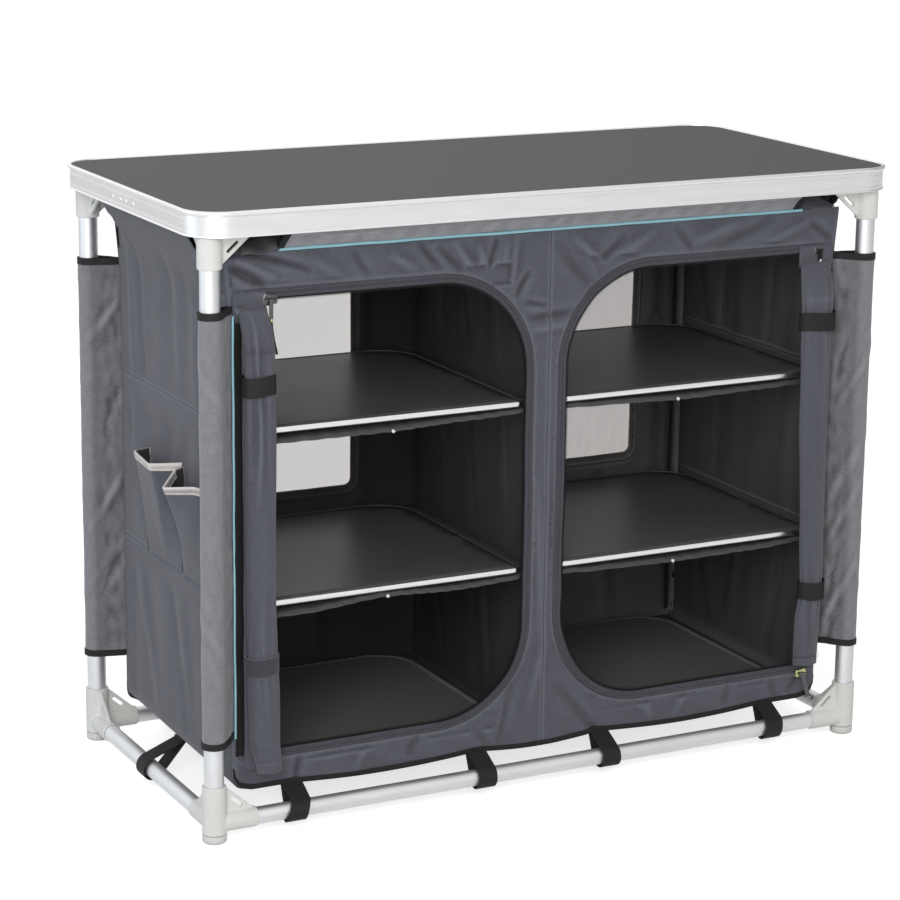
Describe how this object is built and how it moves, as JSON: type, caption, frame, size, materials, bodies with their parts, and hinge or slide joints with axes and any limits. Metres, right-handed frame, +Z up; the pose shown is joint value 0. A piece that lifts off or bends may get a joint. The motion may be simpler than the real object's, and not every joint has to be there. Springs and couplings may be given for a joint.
{
  "type": "camp kitchen unit",
  "caption": "Knock-down camp kitchen: aluminium tube frame with corner connectors, lift-off worktop and a hanging fabric cupboard with arched doorways, rolled doors and shelves.",
  "frame": {"origin": "on the floor under the middle of the unit", "axes": "+X right along the front, +Y to the back, +Z up; the doorways face -Y"},
  "size_m": [1.01, 0.48, 0.8],
  "materials": {
    "laminate": "matt grey laminate on fibreboard",
    "rim_aluminium": "brushed extrusion",
    "tube_aluminium": "satin anodised tube",
    "connector_plastic": "satin moulded nylon",
    "foot_plastic": "satin moulded cap",
    "dark_cloth": "coated polyester weave",
    "light_cloth": "coated polyester weave",
    "lining": "black coated polyester",
    "window_net": "fine net",
    "zip_metal": "plated die casting",
    "pull_cord": "woven cord"
  },
  "bodies": {
    "unit": {"leg_front_left": "tube_aluminium", "leg_front_right": "tube_aluminium", "leg_back_left": "tube_aluminium", "leg_back_right": "tube_aluminium", "bottom_bar_front": "tube_aluminium", "bottom_bar_back": "tube_aluminium", "bottom_bar_left": "tube_aluminium", "bottom_bar_right": "tube_aluminium", "top_bar_front": "tube_aluminium", "top_bar_back": "tube_aluminium", "top_bar_left": "tube_aluminium", "top_bar_right": "tube_aluminium", "bottom_connector_front_left": "connector_plastic", "bottom_connector_front_right": "connector_plastic", "bottom_connector_back_left": "connector_plastic", "bottom_connector_back_right": "connector_plastic", "top_connector_front_left": "connector_plastic", "top_connector_front_right": "connector_plastic", "top_connector_back_left": "connector_plastic", "top_connector_back_right": "connector_plastic", "foot_front_left": "foot_plastic", "foot_front_right": "foot_plastic", "foot_back_left": "foot_plastic", "foot_back_right": "foot_plastic", "front_panel": "dark_cloth", "back_panel": "dark_cloth", "side_panel_left": "dark_cloth", "side_panel_right": "dark_cloth", "door_roll_left": "dark_cloth", "door_roll_right": "dark_cloth", "side_pocket_rear": "dark_cloth", "side_pocket_front": "dark_cloth", "top_sleeve_front": "light_cloth", "leg_sleeve_front_left": "light_cloth", "leg_sleeve_front_right": "light_cloth", "leg_sleeve_back_left": "light_cloth", "leg_sleeve_back_right": "light_cloth", "centre_divider": "lining", "base_panel": "lining", "shelf_sling_left_upper": "lining", "shelf_sling_left_lower": "lining", "shelf_sling_right_upper": "lining", "shelf_sling_right_lower": "lining", "window_left": "window_net", "window_right": "window_net"},
    "worktop": {"table_board": "laminate", "table_rim": "rim_aluminium"},
    "shelf_left_upper": {"shelf_board_left_upper": "laminate"},
    "shelf_left_lower": {"shelf_board_left_lower": "laminate"},
    "shelf_right_upper": {"shelf_board_right_upper": "laminate"},
    "shelf_right_lower": {"shelf_board_right_lower": "laminate"},
    "floor_left": {"floor_board_left": "lining"},
    "floor_right": {"floor_board_right": "lining"},
    "slider_top_left": {"zip_slider_top_left": "zip_metal"},
    "pull_top_left": {"zip_pull_top_left": "pull_cord"},
    "slider_top_right": {"zip_slider_top_right": "zip_metal"},
    "pull_top_right": {"zip_pull_top_right": "pull_cord"},
    "slider_bottom_right": {"zip_slider_bottom_right": "zip_metal"},
    "pull_bottom_right": {"zip_pull_bottom_right": "pull_cord"}
  },
  "joints": [
    {"name": "worktop_lift", "type": "slide", "parent": "unit", "child": "worktop", "axis": [0, 0, 1], "range_m": [0, 0.12]},
    {"name": "shelf_left_upper_lift", "type": "slide", "parent": "unit", "child": "shelf_left_upper", "axis": [0, 0, 1], "range_m": [0, 0.04]},
    {"name": "shelf_left_lower_lift", "type": "slide", "parent": "unit", "child": "shelf_left_lower", "axis": [0, 0, 1], "range_m": [0, 0.04]},
    {"name": "shelf_right_upper_lift", "type": "slide", "parent": "unit", "child": "shelf_right_upper", "axis": [0, 0, 1], "range_m": [0, 0.04]},
    {"name": "shelf_right_lower_lift", "type": "slide", "parent": "unit", "child": "shelf_right_lower", "axis": [0, 0, 1], "range_m": [0, 0.04]},
    {"name": "floor_left_lift", "type": "slide", "parent": "unit", "child": "floor_left", "axis": [0, 0, 1], "range_m": [0, 0.04]},
    {"name": "floor_right_lift", "type": "slide", "parent": "unit", "child": "floor_right", "axis": [0, 0, 1], "range_m": [0, 0.04]},
    {"name": "slider_top_left_run", "type": "slide", "parent": "unit", "child": "slider_top_left", "axis": [1, 0, 0], "range_m": [0, 0.22]},
    {"name": "pull_top_left_swing", "type": "hinge", "parent": "slider_top_left", "child": "pull_top_left", "pos_m": [-0.383, -0.1945, 0.6855], "axis": [-1, 0, 0], "range_deg": [0, 150]},
    {"name": "slider_top_right_run", "type": "slide", "parent": "unit", "child": "slider_top_right", "axis": [-1, 0, 0], "range_m": [0, 0.25]},
    {"name": "pull_top_right_swing", "type": "hinge", "parent": "slider_top_right", "child": "pull_top_right", "pos_m": [0.414, -0.1945, 0.6855], "axis": [-1, 0, 0], "range_deg": [0, 150]},
    {"name": "slider_bottom_right_run", "type": "slide", "parent": "unit", "child": "slider_bottom_right", "axis": [-1, 0, 0], "range_m": [0, 0.244]},
    {"name": "pull_bottom_right_swing", "type": "hinge", "parent": "slider_bottom_right", "child": "pull_bottom_right", "pos_m": [0.408, -0.1945, 0.0985], "axis": [-1, 0, 0], "range_deg": [0, 100]}
  ]
}
